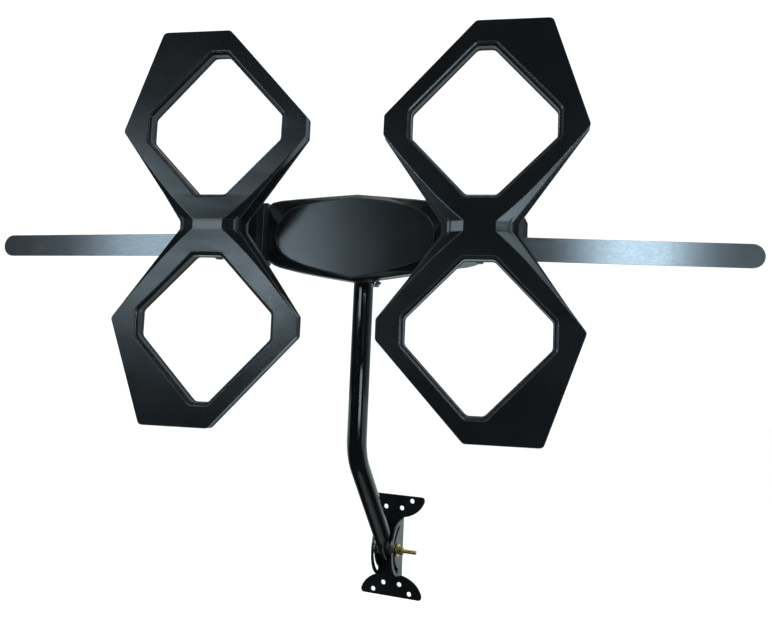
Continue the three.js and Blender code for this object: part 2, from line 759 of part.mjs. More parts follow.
function armSolid() {
  const top = slabZ(shapeOf([...ARM_FRONT, ...ARM_BACK].map(([x, y]) => V2(x, y))), -60, 60);
  const side = [
    V2(110, -32), V2(140, ARM_BOTTOM), V2(200, ARM_BOTTOM), V2(204, ARM_BOTTOM + 4),
    V2(204, 9), V2(200, 16), V2(193, 19.5), V2(146, 19.5), V2(140, 27), V2(133, 38),
    V2(126, 42.5), V2(110, 44),
  ];
  const arm = common(top, slabY(shapeOf(side), 10, 120));
  const [k0, k1] = KNUCKLE;
  const slotRound = rod(V3(HUB_X, HINGE_Y, k0 - GAP), V3(HUB_X, HINGE_Y, k1 + GAP), 8.8, 32);
  const slotMouth = slabZ(
    shapeOf([V2(HUB_X - 13.5, 18), V2(HUB_X + 13.5, 18), V2(HUB_X + 8.4, HINGE_Y), V2(HUB_X - 8.4, HINGE_Y)]),
    k0 - GAP,
    k1 + GAP,
  );
  const bolt = rod(V3(HUB_X, HINGE_Y, -60), V3(HUB_X, HINGE_Y, 60), HINGE_BOLT / 2 + GAP, 24);
  const halfSheet = STRIP_SHEET / 2 + GAP;
  const halfWidth = STRIP_WIDTH / 2 + GAP;
  const pocket = stripFrame(box(STRIP_START - HUB_X - 1, 60, -halfSheet, halfSheet, -halfWidth, halfWidth));
  const screw = stripFrame(rod(V3(STRIP_SCREW, -3, 0), V3(STRIP_SCREW, 30, 0), 2 + GAP, 20));
  const at = ARM_SCREW;
  const spot = rod(V3(at[0] - 6, at[1] - 4.5, at[2]), V3(at[0] + 9, at[1] + 6.75, at[2]), 1.6 + GAP, 16);
  const seat = rod(V3(at[0] - 8, at[1] - 6, at[2]), V3(at[0] + 1, at[1] + 0.75, at[2]), 3.4, 20);
  return cut(arm, slotRound, slotMouth, bolt, pocket, screw, spot, seat);
}

const STRIP_SCREW = 34; // from the hub along the strip
const ARM_SCREW = [130.4, 47.5, 8.5];

function strip() {
  const length = (STRIP_TIP - HUB_X) / Math.cos(STRIP_SWEEP);
  const r = STRIP_WIDTH / 2;
  const start = STRIP_START - HUB_X;
  const s = new THREE.Shape();
  s.moveTo(start, -r);
  s.lineTo(length - r, -r);
  s.absarc(length - r, 0, r, -Math.PI / 2, Math.PI / 2, false);
  s.lineTo(start, r);
  const hole = new THREE.Path();
  hole.absarc(STRIP_SCREW, 0, 2 + GAP, 0, Math.PI * 2, true);
  s.holes.push(hole);
  return stripFrame(slabY(s, -STRIP_SHEET / 2, STRIP_SHEET / 2, 12));
}

function stripScrew() {
  const back = 17.2;
  return stripFrame(
    joined(
      rod(V3(STRIP_SCREW, -2.4, 0), V3(STRIP_SCREW, back + 1, 0), 2, 20),
      rod(V3(STRIP_SCREW, back, 0), V3(STRIP_SCREW, back + 2.2, 0), 4, 24),
    ),
  );
}

function armScrew() {
  const [x, y, z] = ARM_SCREW;
  const u = V3(0.8, 0.6, 0);
  const at = (d) => V3(x, y, z).addScaledVector(u, d);
  return joined(rod(at(-1), at(9), 1.5, 16), rod(at(-1.6), at(0.8), 3, 20));
}

const boltAt = (z) => V3(HUB_X, HINGE_Y, z);
function hingeBolt() {
  return joined(
    hex(boltAt(ARM_BOTTOM - GAP - 3.4), boltAt(ARM_BOTTOM - GAP), 8),
    rod(boltAt(ARM_BOTTOM - 1), boltAt(26), HINGE_BOLT / 2, 24),
  );
}
function hingeNut() {
  return cut(hex(boltAt(19.5 + GAP), boltAt(23.8), 8), rod(boltAt(18), boltAt(30), HINGE_BOLT / 2 + GAP, 24));
}

for (const [name, side] of [["right", (g) => g], ["left", mirrored]]) {
  node(head, `arm_${name}`, side(armSolid()), DARK_ABS);
  node(head, `arm_screw_${name}`, side(armScrew()), ZINC);
  node(head, `vhf_strip_${name}`, side(strip()), BLACK_PAINT);
  node(head, `strip_screw_${name}`, side(stripScrew()), ZINC);
  node(head, `hinge_bolt_${name}`, side(hingeBolt()), ZINC);
  node(head, `hinge_nut_${name}`, side(hingeNut()), ZINC);
}

// ---------------------------------------------------------------- loop panels
// Panel frame: hub at the origin, X away from the head's middle, Z up; right panel drawn.
// Upper half of the outline from the outer waist round to the inner waist, and the upper opening.
const PANEL_HALF = [
  [WAIST, 5], [112.5, 109], [71.3, 228.6], [-10.6, 228.6], [-108, 123.5], [-108, 101], [-WAIST, 5],
];
const COVER_HALF = PANEL_HALF.map(([x, z]) => [z === 5 ? Math.sign(x) * LIP : x, z === 5 ? 6 : z]);
const OPENING = [
  [17, 35], [79.8, 98.6], [79.8, 127.6], [10.4, 200.4],
  [-8.4, 200.4], [-78, 127.4], [-78, 99], [-16, 35],
];

const wholeOutline = (half) => [
  ...half.map(([x, z]) => V2(x, z)),
  ...[...half].reverse().map(([x, z]) => V2(x, -z)),
];
const panelOutline = wholeOutline(PANEL_HALF);
const coverOutline = wholeOutline(COVER_HALF);
const openings = [OPENING.map(([x, z]) => V2(x, z)), [...OPENING].reverse().map(([x, z]) => V2(x, -z))];

// The panel's figure of eight between two depths; shrink > 0 takes material off every side.
function panelSlab(shrink, outerRadius, openingRadius, y0, y1, line = panelOutline) {
  const full = slabY(shapeOf(rounded(inset(line, shrink), outerRadius, 3)), y0, y1);
  const holes = openings.map((o) =>
    slabY(shapeOf(rounded(inset(o, -shrink), openingRadius, 3)), y0 - 1, y1 + 1),
  );
  return cut(full, ...holes);
}

// Front surface: a level band across the hub, falling back above and below it.
const FRONT_LINE = [
  [0, 0], [BAND_HALF, 0], [18, 1.3], [34, 2.6], [60, 3.8], [110, 5], [232, 7.6],
];
const frontAt = (z) => {
  const a = Math.abs(z);
  const i = FRONT_LINE.findIndex(([q]) => q >= a);
  if (i <= 0) {
    return -HUB_PROUD;
  }
  const [z0, y0] = FRONT_LINE[i - 1];
  const [z1, y1] = FRONT_LINE[i];
  return -HUB_PROUD + y0 + ((y1 - y0) * (a - z0)) / (z1 - z0);
};

function frontRegion(behind, back) {
  const upper = FRONT_LINE.slice(1).map(([z, y]) => V2(y - HUB_PROUD + behind, z));
  const lower = [...upper].reverse().map((p) => V2(p.x, -p.y));
  const points = [V2(back, 232), ...[...upper].reverse(), ...[...lower].reverse(), V2(back, -232)];
  return slabX(shapeOf(points), -130, 130);
}

// Facets on both sides of the waist, from the hub's band out to the outline's widest corners.
function facetTools() {
  const tools = [];
  const fall = 5;
  for (const [ex, ez] of [[112.5, 109], [-108, 101]]) {
    const sx = Math.sign(ex);
    const a = V3(sx * FACET_HUB_X, frontAt(BAND_HALF), BAND_HALF);
    const b = V3(ex, frontAt(ez), ez);
    const c = V3(sx * WAIST, a.y + fall, BAND_HALF);
    const plane = new THREE.Plane().setFromCoplanarPoints(a, b, c);
    const yOn = (x, z) => -(plane.normal.x * x + plane.normal.z * z + plane.constant) / plane.normal.y;
    const low = [
      [a.x, a.z],
      [b.x, b.z],
      [b.x + sx * 12, b.z],
      [sx * 46, BAND_HALF],
    ].map(([x, z]) => V3(x, yOn(x, z), z));
    const high = low.map((p) => V3(p.x, -30, p.z));
    const upper = outward(ringSolid([low, high]));
    const lower = mirroredZ(upper);
    const band = [
      V3(a.x, a.y, BAND_HALF),
      V3(a.x, a.y, -BAND_HALF),
      V3(low[3].x, low[3].y, -BAND_HALF),
      V3(low[3].x, low[3].y, BAND_HALF),
    ];
    const middle = outward(ringSolid([band, band.map((p) => V3(p.x, -30, p.z))]));
    tools.push(upper, lower, middle);
  }
  return tools;
}

function mirroredZ(geometry) {
  const g = stripped(geometry);
  g.scale(1, 1, -1);
  return outward(g);
}

// Takes the sharp front edge off one opening, all the way round.
function openingEdge(opening) {
  const rim = (grow, depth) =>
    rounded(inset(opening, -grow), 7, 3).map((p) => V3(p.x, frontAt(p.y) + depth, p.y));
  return outward(ringSolid([rim(0.01, 3.4), rim(2.2, 0.9), rim(6, -1.2)]));
}

const PANEL_SCREWS = [[28, 214], [-92, 112], [28, -214], [-92, -112]];

function panelFront() {
  const body = common(panelSlab(0, 6, 7, -20, PANEL_BACK), frontRegion(0, PANEL_BACK));
  const faceted = cut(body, ...facetTools(), ...openings.map(openingEdge));
  const hollow = panelSlab(SKIN, 5, 8, -20, PANEL_BACK + 1);
  const cavity = common(hollow, frontRegion(SKIN + 1.6, PANEL_BACK + 2));
  const shell = cut(faceted, cavity);
  const bosses = PANEL_SCREWS.map(([x, z]) => {
    const from = frontAt(z) + 1.5;
    const boss = rod(V3(x, from, z), V3(x, PANEL_BACK, z), 4, 18);
    return cut(boss, rod(V3(x, from + 2.5, z), V3(x, 30, z), 1.5, 14));
  });
  return joined(shell, ...bosses);
}

function panelCover() {
  const y0 = PANEL_BACK + GAP;
  const y1 = y0 + COVER;
  const sheet = panelSlab(-0.5, 6, 7, y0, y1, coverOutline);
  const [k0, k1] = KNUCKLE;
  const neck = box(-7, 7, y1 - 1, HINGE_Y, k0, k1);
  const eye = rod(V3(0, HINGE_Y, k0), V3(0, HINGE_Y, k1), 8, 32);
  const pad = box(-13, 13, y1 - 1, y1 + 2, -17, 13);
  const bore = rod(V3(0, HINGE_Y, -30), V3(0, HINGE_Y, 30), HINGE_BOLT / 2 + GAP, 24);
  const holes = PANEL_SCREWS.map(([x, z]) => rod(V3(x, 5, z), V3(x, 20, z), 1.3 + GAP, 14));
  return cut(joined(sheet, pad, neck, eye), bore, ...holes);
}

// Metal figure of eight inside the shell.
function panelElement() {
  const band = panelSlab(8, 6, 12, PANEL_BACK - 1.2, PANEL_BACK - 0.2);
  const clear = PANEL_SCREWS.map(([x, z]) => rod(V3(x, 0, z), V3(x, 20, z), 4 + GAP, 18));
  return cut(band, ...clear);
}

function panelScrew(x, z) {
  const seat = PANEL_BACK + GAP + COVER + GAP;
  return joined(
    rod(V3(x, frontAt(z) + 5.5, z), V3(x, seat + 1, z), 1.2, 10),
    rod(V3(x, seat, z), V3(x, seat + 1.8, z), 2.8, 14),
  );
}

const panels = [];
for (const [name, side, sign] of [["right", (g) => g, 1], ["left", mirrored, -1]]) {
  const panel = new THREE.Group();
  panel.name = `panel_${name}`;
  panel.position.set(sign * HUB_X, 0, 0);
  node(panel, `panel_shell_${name}`, side(panelFront()), BLACK_ABS);
  node(panel, `panel_cover_${name}`, side(panelCover()), DARK_ABS);
  node(panel, `loop_element_${name}`, side(panelElement()), ALUMINIUM);
  for (const [i, [x, z]] of PANEL_SCREWS.entries()) {
    node(panel, `panel_screw_${name}_${i + 1}`, side(panelScrew(x, z)), ZINC);
  }
  head.add(panel);
  panels.push(panel);
}

// ---------------------------------------------------------------- assembly
// The head stands on the mast: its frame is moved back by HEAD_FRONT and turned round the mast.
const headPlace = new THREE.Group();
headPlace.name = "head_on_mast";
head.position.set(0, -HEAD_FRONT, 0);
headPlace.add(head);
headPlace.rotation.z = HEAD_TURN;
headPlace.position.set(0, MAST_Y, HUB_Z);

const antenna = new THREE.Group();
antenna.name = "antenna";
antenna.add(bracket, mast, headPlace);

export default antenna;
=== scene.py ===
import json
import math
import bmesh
import bpy
from mathutils import Matrix, Vector


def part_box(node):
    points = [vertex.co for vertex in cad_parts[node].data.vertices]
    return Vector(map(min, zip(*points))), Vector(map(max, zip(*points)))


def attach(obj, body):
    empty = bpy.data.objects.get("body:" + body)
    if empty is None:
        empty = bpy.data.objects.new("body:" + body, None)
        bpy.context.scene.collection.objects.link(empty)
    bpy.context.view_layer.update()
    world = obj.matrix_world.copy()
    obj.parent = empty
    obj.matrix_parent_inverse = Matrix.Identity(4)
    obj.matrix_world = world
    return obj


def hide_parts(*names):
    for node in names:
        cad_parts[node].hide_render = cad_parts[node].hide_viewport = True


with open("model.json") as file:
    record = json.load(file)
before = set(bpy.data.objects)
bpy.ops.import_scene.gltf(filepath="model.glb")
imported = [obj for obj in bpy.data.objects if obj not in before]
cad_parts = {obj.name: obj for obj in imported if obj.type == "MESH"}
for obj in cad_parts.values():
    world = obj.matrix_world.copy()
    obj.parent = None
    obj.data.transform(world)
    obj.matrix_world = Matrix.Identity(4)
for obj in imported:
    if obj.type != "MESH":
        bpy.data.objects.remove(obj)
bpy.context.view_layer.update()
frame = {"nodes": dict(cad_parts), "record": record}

NODES = frame["nodes"]
RECORD = frame["record"]
BODY_OF = {node: body for body, nodes in RECORD["behaviour"]["bodies"].items() for node in nodes}
SLOT_OF = {part["node"]: part["material_slot"] for part in RECORD["subparts"]}
SCENE = bpy.context.scene
FULL_TURN = 2 * math.pi

# ---------------------------------------------------------------- the head's frame, in metres
HEAD_TURN = math.radians(11.8)  # how far the head is turned round the mast at rest
MAST_AXIS = Vector((0.0, -0.1484, 0.0))  # the axis that the head turns on
HUB_Z = 0.410  # the hubs' height over the pivot bolt
HEAD_FRONT = 0.145  # how far the head's own y = 0 lies in front of the mast's axis
HEAD = (
    Matrix.Translation(MAST_AXIS + Vector((0, 0, HUB_Z)))
    @ Matrix.Rotation(HEAD_TURN, 4, "Z")
    @ Matrix.Translation((0, -HEAD_FRONT, 0))
)

# ---------------------------------------------------------------- camera
CAMERA_LENS = 32.68
CAMERA_SENSOR = 36.0
CAMERA_PLACE = (0.35808, -0.97489, 0.26294)
CAMERA_TURN = (94.387, -2.367, 21.329)

camera_data = bpy.data.cameras.new("camera")
camera_data.sensor_width = CAMERA_SENSOR
camera_data.lens = CAMERA_LENS
camera = bpy.data.objects.new("camera", camera_data)
camera.location = CAMERA_PLACE
camera.rotation_euler = [math.radians(angle) for angle in CAMERA_TURN]
SCENE.collection.objects.link(camera)
SCENE.camera = camera
SCENE.view_settings.view_transform = "Standard"


# ---------------------------------------------------------------- shader nodes
class Shader:
    """A material's node tree, with short calls for the nodes used here."""

    def __init__(self, name):
        self.material = bpy.data.materials.new(name)
        self.material.use_nodes = True
        self.tree = self.material.node_tree
        self.tree.nodes.clear()
        self.out = self.add("ShaderNodeOutputMaterial")
        self.bsdf = self.add("ShaderNodeBsdfPrincipled")
        self.link(self.bsdf.outputs[0], self.out.inputs["Surface"])
        self.place = self.add("ShaderNodeTexCoord").outputs["Object"]

    def add(self, kind, **settings):
        node = self.tree.nodes.new(kind)
        for key, value in settings.items():
            setattr(node, key, value)
        return node

    def link(self, source, target):
        self.tree.links.new(source, target)

    def put(self, target, value):
        """Links a socket to the target, or sets the target to a plain value."""
        if isinstance(value, bpy.types.NodeSocket):
            self.link(value, target)
        else:
            target.default_value = value

    def set(self, **values):
        for key, value in values.items():
            self.put(self.bsdf.inputs[key.replace("_", " ")], value)

    def stretched(self, x, y, z, turn=0.0):
        """The place, scaled along each axis and turned about Z, to draw a noise out."""
        node = self.add("ShaderNodeMapping")
        self.link(self.place, node.inputs["Vector"])
        node.inputs["Scale"].default_value = (x, y, z)
        node.inputs["Rotation"].default_value = (0, 0, turn)
        return node.outputs[0]

    def noise(self, scale, detail=4.0, rough=0.55, where=None):
        node = self.add("ShaderNodeTexNoise")
        self.link(where or self.place, node.inputs["Vector"])
        node.inputs["Scale"].default_value = scale
        node.inputs["Detail"].default_value = detail
        node.inputs["Roughness"].default_value = rough
        return node.outputs["Fac"]

    def cells(self, scale):
        node = self.add("ShaderNodeTexVoronoi")
        self.link(self.place, node.inputs["Vector"])
        node.inputs["Scale"].default_value = scale
        return node.outputs["Distance"]

    def span(self, value, low, high, to_low=0.0, to_high=1.0):
        node = self.add("ShaderNodeMapRange")
        self.link(value, node.inputs["Value"])
        limits = {"From Min": low, "From Max": high, "To Min": to_low, "To Max": to_high}
        for key, number in limits.items():
            node.inputs[key].default_value = number
        return node.outputs[0]

    def math(self, how, a, b=0.0):
        node = self.add("ShaderNodeMath", operation=how)
        self.put(node.inputs[0], a)
        self.put(node.inputs[1], b)
        return node.outputs[0]

    def times(self, a, b):
        return self.math("MULTIPLY", a, b)

    def plus(self, a, b):
        return self.math("ADD", a, b)

    def mix(self, factor, a, b):
        node = self.add("ShaderNodeMix", data_type="RGBA")
        self.put(node.inputs["Factor"], factor)
        for socket, value in ((node.inputs[6], a), (node.inputs[7], b)):
            self.put(socket, (*value, 1.0) if isinstance(value, tuple) else value)
        return node.outputs[2]

    def over(self, colour, tint, where, share=1.0):
        """The colour with a tint over it, as strong as where times share."""
        factor = where if share == 1.0 else self.times(where, share)
        return self.mix(factor, colour, tint)

    def clouded(self, cloud, dark, light):
        """A colour that drifts from dark to light with a noise."""
        return self.mix(self.span(cloud, 0.35, 0.65), dark, light)

    def rounded(self, radius):
        """The normal as if every edge were rounded by a radius in metres."""
        node = self.add("ShaderNodeBevel", samples=4)
        node.inputs["Radius"].default_value = radius
        return node.outputs[0]

    def edges(self, radius, low=0.004, high=0.12):
        """1 along convex and concave edges, 0 on flat faces."""
        dot = self.add("ShaderNodeVectorMath", operation="DOT_PRODUCT")
        self.link(self.rounded(radius), dot.inputs[0])
        self.link(self.add("ShaderNodeNewGeometry").outputs["Normal"], dot.inputs[1])
        return self.span(self.math("SUBTRACT", 1.0, dot.outputs["Value"]), low, high)

    def dust(self, scale, low, high, most):
        """Patches of dust on the faces that look up."""
        node = self.add("ShaderNodeSeparateXYZ")
        self.link(self.add("ShaderNodeNewGeometry").outputs["Normal"], node.inputs[0])
        up = self.span(node.outputs["Z"], 0.25, 1.0)
        return self.times(up, self.span(self.noise(scale, 6.0, 0.7), low, high, 0.0, most))

    def bump(self, *layers, over=None):
        """layers: (height, strength, distance in metres); over: the normal under them."""
        normal = over
        for height, strength, distance in layers:
            node = self.add("ShaderNodeBump")
            node.inputs["Strength"].default_value = strength
            node.inputs["Distance"].default_value = distance
            self.link(height, node.inputs["Height"])
            if normal is not None:
                self.link(normal, node.inputs["Normal"])
            normal = node.outputs[0]
        self.link(normal, self.bsdf.inputs["Normal"])


# ---------------------------------------------------------------- materials
def moulded(name, dark, light, rough, grain):
    """Satin moulded plastic: spark-eroded grain, faint flow marks, a painted highlight along the
    edges and some dust.
    """
    rim = 0.0012
    look = Shader(name)
    flow = look.noise(9.0, 3.0, 0.5, look.stretched(1.0, 1.0, 2.6, 0.4))
    cloud = look.noise(38.0, 5.0)
    fine = look.noise(2600.0, 2.0)
    specks = look.span(look.noise(620.0, 4.0, 0.7), 0.66, 0.74)
    colour = look.mix(look.plus(look.times(flow, 0.6), look.times(cloud, 0.4)), dark, light)
    # Painted highlight: a lighter cool tint along the edges and crest lines, broken up by a noise.
    highlight_breakup = look.span(look.noise(150.0, 5.0, 0.7), 0.30, 0.62, 0.45, 1.0)
    painted_edge_highlight = look.times(look.edges(rim, 0.0015, 0.02), highlight_breakup)
    colour = look.over(colour, (0.075, 0.09, 0.10), painted_edge_highlight, 0.55)
    dust = look.dust(260.0, 0.42, 0.72, 0.16)
    colour = look.over(colour, (0.22, 0.22, 0.21), dust)
    colour = look.over(colour, (0.16, 0.17, 0.18), specks, 0.10)
    smear = look.plus(look.times(look.noise(24.0, 3.0, 0.45), 0.12), rough - 0.05)
    look.set(Base_Color=colour, Roughness=look.plus(smear, look.times(dust, 0.8)), IOR=1.53)
    look.bump((fine, grain, 0.00012), (cloud, 0.05, 0.0006), over=look.rounded(rim))
    return look.material


def enamel(name, dark, light, rough, peel, chips):
    """Black stove enamel on steel: orange peel, soft sheen, small chips at the edges."""
    rim = 0.0007
    look = Shader(name)
    cloud = look.noise(22.0, 4.0)
    waves = look.noise(620.0, 2.0, 0.4)
    fine = look.noise(3200.0, 2.0)
    colour = look.clouded(cloud, dark, light)
    edge = look.edges(rim)
    bare = look.times(edge, look.span(look.noise(420.0, 5.0, 0.75), 0.56, 0.64))
    bare = look.times(bare, chips)
    colour = look.over(colour, (0.09, 0.09, 0.095), edge, 0.30)
    colour = look.over(colour, (0.34, 0.33, 0.31), bare)
    colour = look.over(colour, (0.20, 0.20, 0.19), look.dust(300.0, 0.45, 0.75, 0.14))
    sheen = look.span(look.noise(60.0, 4.0, 0.5), 0.1, 0.9, rough - 0.04, rough + 0.06)
    look.set(Base_Color=colour, Roughness=look.plus(sheen, look.times(bare, 0.4)))
    look.set(Metallic=look.times(bare, 0.9), IOR=1.52, Coat_Weight=0.25, Coat_Roughness=0.12)
    look.bump((waves, peel, 0.0003), (fine, 0.03, 0.0001), over=look.rounded(rim))
    return look.material


def plated(name, base, tint, rough, dull):
    """Plated steel hardware: drawn grain, cloudy passivation, dull specks."""
    rim = 0.0003
    look = Shader(name)
    cloud = look.noise(240.0, 5.0, 0.6)
    grain = look.noise(5200.0, 3.0, 0.6)
    spots = look.span(look.noise(900.0, 5.0, 0.7), 0.60, 0.70)
    colour = look.over(look.clouded(cloud, base, tint), dull, spots, 0.45)
    bright = tuple(min(1.0, channel * 1.25) for channel in base)
    colour = look.over(colour, bright, look.edges(rim), 0.5)
    matt = look.span(cloud, 0.3, 0.7, rough - 0.06, rough + 0.10)
    look.set(Base_Color=colour, Metallic=1.0, Roughness=look.plus(matt, look.times(spots, 0.2)))
    look.bump((grain, 0.12, 0.00005), (cloud, 0.08, 0.0002), over=look.rounded(rim))
    return look.material


def brushed(name, base, tint, rough, along):
    """Rolled sheet metal, its grain drawn out along one axis."""
    rim = 0.0003
    look = Shader(name)
    lines = look.noise(900.0, 4.0, 0.6, look.stretched(*along))
    cloud = look.noise(40.0, 4.0)
    colour = look.over(look.clouded(lines, base, tint), (0.85, 0.86, 0.87), look.edges(rim), 0.4)
    matt = look.span(cloud, 0.3, 0.7, rough - 0.05, rough + 0.1)
    look.set(Base_Color=colour, Metallic=1.0, Roughness=matt)
    look.bump((lines, 0.18, 0.00008), over=look.rounded(rim))
    return look.material


def anodised(name, dark, light):
    """Black-finished flat metal strip: fine rolled grain under a thin dark coat."""
    rim = 0.0004
    look = Shader(name)
    lines = look.noise(700.0, 3.0, 0.6, look.stretched(0.05, 1.0, 1.0, HEAD_TURN))
    cloud = look.noise(26.0, 5.0)
    nick = look.times(look.edges(rim), look.span(look.noise(380.0, 5.0, 0.7), 0.52, 0.62))
    colour = look.over(look.clouded(lines, dark, light), (0.52, 0.53, 0.54), nick, 0.6)
    drawn = look.noise(210.0, 6.0, 0.75, look.stretched(0.2, 1.0, 1.0, HEAD_TURN))
    colour = look.over(colour, (0.25, 0.26, 0.27), look.span(drawn, 0.62, 0.72), 0.12)
    look.set(Base_Color=colour, Metallic=0.85, Roughness=look.span(cloud, 0.1, 0.9, 0.15, 0.21))
    look.bump((lines, 0.05, 0.00005), (cloud, 0.04, 0.0004), over=look.rounded(rim))
    return look.material


def rubber(name, dark, light):
    """Seal rubber: matt and finely pitted, with a pale bloom on top."""
    rim = 0.0006
    look = Shader(name)
    cloud = look.noise(60.0, 5.0)
    fine = look.noise(1900.0, 3.0)
    colour = look.over(look.clouded(cloud, dark, light), (0.09, 0.09, 0.09), look.edges(rim), 0.4)
    colour = look.over(colour, (0.16, 0.16, 0.155), look.dust(340.0, 0.42, 0.7, 0.3))
    look.set(Base_Color=colour, Roughness=look.span(cloud, 0.3, 0.7, 0.68, 0.86))
    look.bump((fine, 0.2, 0.0001), (cloud, 0.1, 0.0004), over=look.rounded(rim))
    return look.material


def laminate(name, mask, run):
    """Circuit board: green solder mask over etched copper runs."""
    look = Shader(name)
    runs = look.add("ShaderNodeTexBrick")
    look.link(look.place, runs.inputs["Vector"])
    runs.inputs["Scale"].default_value = 160.0
    runs.inputs["Mortar Size"].default_value = 0.09
    copper = look.math("SUBTRACT", 1.0, runs.outputs["Fac"])
    cloud = look.noise(90.0, 4.0)
    colour = look.over(mask, run, copper, 0.6)
    colour = look.over(colour, (0.008, 0.060, 0.026), look.span(cloud, 0.4, 0.7, 0.0, 0.3))
    colour = look.over(colour, (0.24, 0.22, 0.12), look.edges(0.0004))
    look.set(Base_Color=colour, Roughness=look.span(cloud, 0.3, 0.7, 0.28, 0.42))
    look.bump((copper, 0.25, 0.00006), (look.noise(2200.0, 2.0), 0.06, 0.00005))
    return look.material


def ferrite(name, dark, light):
    """Sintered core: fine grains, a little worn at its edges."""
    rim = 0.0004
    look = Shader(name)
    grains = look.cells(1800.0)
    cloud = look.noise(120.0, 5.0)
    colour = look.mix(look.span(grains, 0.1, 0.6), dark, light)
    colour = look.over(colour, (0.020, 0.020, 0.024), look.span(cloud, 0.4, 0.7, 0.0, 0.4))
    colour = look.over(colour, (0.16, 0.16, 0.17), look.edges(rim), 0.5)
    look.set(Base_Color=colour, Roughness=look.span(cloud, 0.3, 0.7, 0.45, 0.65), Metallic=0.25)
    look.bump((grains, 0.3, 0.00008), over=look.rounded(rim))
    return look.material


def insulator(name, dark, light):
    """The coaxial jack's off-white plastic core."""
    rim = 0.0003
    look = Shader(name)
    cloud = look.noise(400.0, 4.0)
    colour = look.over(look.clouded(cloud, dark, light), (0.55, 0.53, 0.47), look.edges(rim), 0.4)
    matt = look.span(cloud, 0.3, 0.7, 0.35, 0.5)
    look.set(Base_Color=colour, Roughness=matt, Subsurface_Weight=0.1)
    look.bump((look.noise(1500.0, 3.0), 0.08, 0.00008), over=look.rounded(rim))
    return look.material


LOOKS = {
    "black_plastic": (moulded, dict(
        dark=(0.0016, 0.0022, 0.0027), light=(0.0032, 0.0043, 0.0052), rough=0.225, grain=0.025,
    )),
    "dark_plastic": (moulded, dict(
        dark=(0.0014, 0.0017, 0.0019), light=(0.0028, 0.0033, 0.0037), rough=0.34, grain=0.05,
    )),
    "black_enamel": (enamel, dict(
        dark=(0.0016, 0.0018, 0.0020), light=(0.0034, 0.0037, 0.0040),
        rough=0.22, peel=0.08, chips=0.35,
    )),
    "gloss_black_enamel": (enamel, dict(
        dark=(0.0014, 0.0018, 0.0018), light=(0.0030, 0.0037, 0.0037),
        rough=0.07, peel=0.03, chips=0.25,
    )),
    "strip_enamel": (anodised, dict(dark=(0.105, 0.115, 0.122), light=(0.130, 0.142, 0.150))),
    "yellow_zinc": (plated, dict(
        base=(0.74, 0.58, 0.20), tint=(0.60, 0.56, 0.26), rough=0.27, dull=(0.34, 0.27, 0.12),
    )),
    "zinc": (plated, dict(
        base=(0.62, 0.63, 0.65), tint=(0.50, 0.51, 0.54), rough=0.30, dull=(0.30, 0.30, 0.29),
    )),
    "nickel": (plated, dict(
        base=(0.66, 0.62, 0.55), tint=(0.58, 0.55, 0.50), rough=0.20, dull=(0.36, 0.33, 0.28),
    )),
    "dielectric": (insulator, dict(dark=(0.72, 0.70, 0.64), light=(0.86, 0.85, 0.80))),
    "soft_rubber": (rubber, dict(dark=(0.010, 0.010, 0.011), light=(0.026, 0.026, 0.027))),
    "board": (laminate, dict(mask=(0.012, 0.085, 0.035), run=(0.030, 0.170, 0.060))),
    "ferrite": (ferrite, dict(dark=(0.035, 0.035, 0.040), light=(0.080, 0.080, 0.088))),
    "element_metal": (brushed, dict(
        base=(0.58, 0.59, 0.61), tint=(0.70, 0.71, 0.73), rough=0.32, along=(1.0, 1.0, 0.06),
    )),
}
SLOTS = {slot: make(slot, **values) for slot, (make, values) in LOOKS.items()}

# ---------------------------------------------------------------- CAD nodes: shading and materials
WELD = 0.00001  # metres within which corners are joined
GENTLE_ANGLE = math.radians(12)  # CAD faces that meet at less than this are shaded as one


def softening():
    """Geometry nodes: joins the corners, then shades smooth wherever the faces meet gently."""
    group = bpy.data.node_groups.new("soft_shading", "GeometryNodeTree")
    for way in ("INPUT", "OUTPUT"):
        group.interface.new_socket("Geometry", in_out=way, socket_type="NodeSocketGeometry")
    nodes, links = group.nodes, group.links
    start = nodes.new("NodeGroupInput")
    end = nodes.new("NodeGroupOutput")
    merge = nodes.new("GeometryNodeMergeByDistance")
    merge.inputs["Distance"].default_value = WELD
    angle = nodes.new("GeometryNodeInputMeshEdgeAngle")
    gentle = nodes.new("FunctionNodeCompare")
    gentle.data_type = "FLOAT"
    gentle.operation = "LESS_THAN"
    gentle.inputs[1].default_value = GENTLE_ANGLE
    faces = nodes.new("GeometryNodeSetShadeSmooth")
    edges = nodes.new("GeometryNodeSetShadeSmooth")
    faces.domain = "FACE"
    edges.domain = "EDGE"
    links.new(start.outputs[0], merge.inputs["Geometry"])
    links.new(merge.outputs[0], faces.inputs["Geometry"])
    links.new(faces.outputs[0], edges.inputs["Geometry"])
    links.new(angle.outputs["Unsigned Angle"], gentle.inputs[0])
    links.new(gentle.outputs[0], edges.inputs["Shade Smooth"])
    links.new(edges.outputs[0], end.inputs[0])
    return group


SOFT = softening()
for node, slot in SLOT_OF.items():
    piece = NODES[node]
    piece.data.materials.clear()
    piece.data.materials.append(SLOTS[slot])
    modifier = piece.modifiers.new("soft_shading", "NODES")
    modifier.node_group = SOFT

# ---------------------------------------------------------------- fasteners, in millimetres
MM = 0.001  # in metres
SIDES = 48  # of each turned piece
SHARP_ANGLE = math.radians(32)  # edges of a fastener that are sharper than this stay hard
ROWS_PER_PITCH = 6
THREAD_CHAMFER = 1.1  # growth of the radius for each millimetre from a chamfered end
HEX_CHAMFER = ((0.0, 0.0), (0.12, 0.21), (0.25, 0.43), (0.4, 0.70), (0.62, 1.08))  # depth, growth
FILLET = 0.25  # under a bolt's head
COUNTERSINK = 0.35  # at both ends of a nut's bore
SCREW_PITCH = 1.1
M6 = {"across": 10, "radius": 3.0, "pitch": 1.0}
M5 = {"across": 8, "radius": 2.5, "pitch": 0.8}


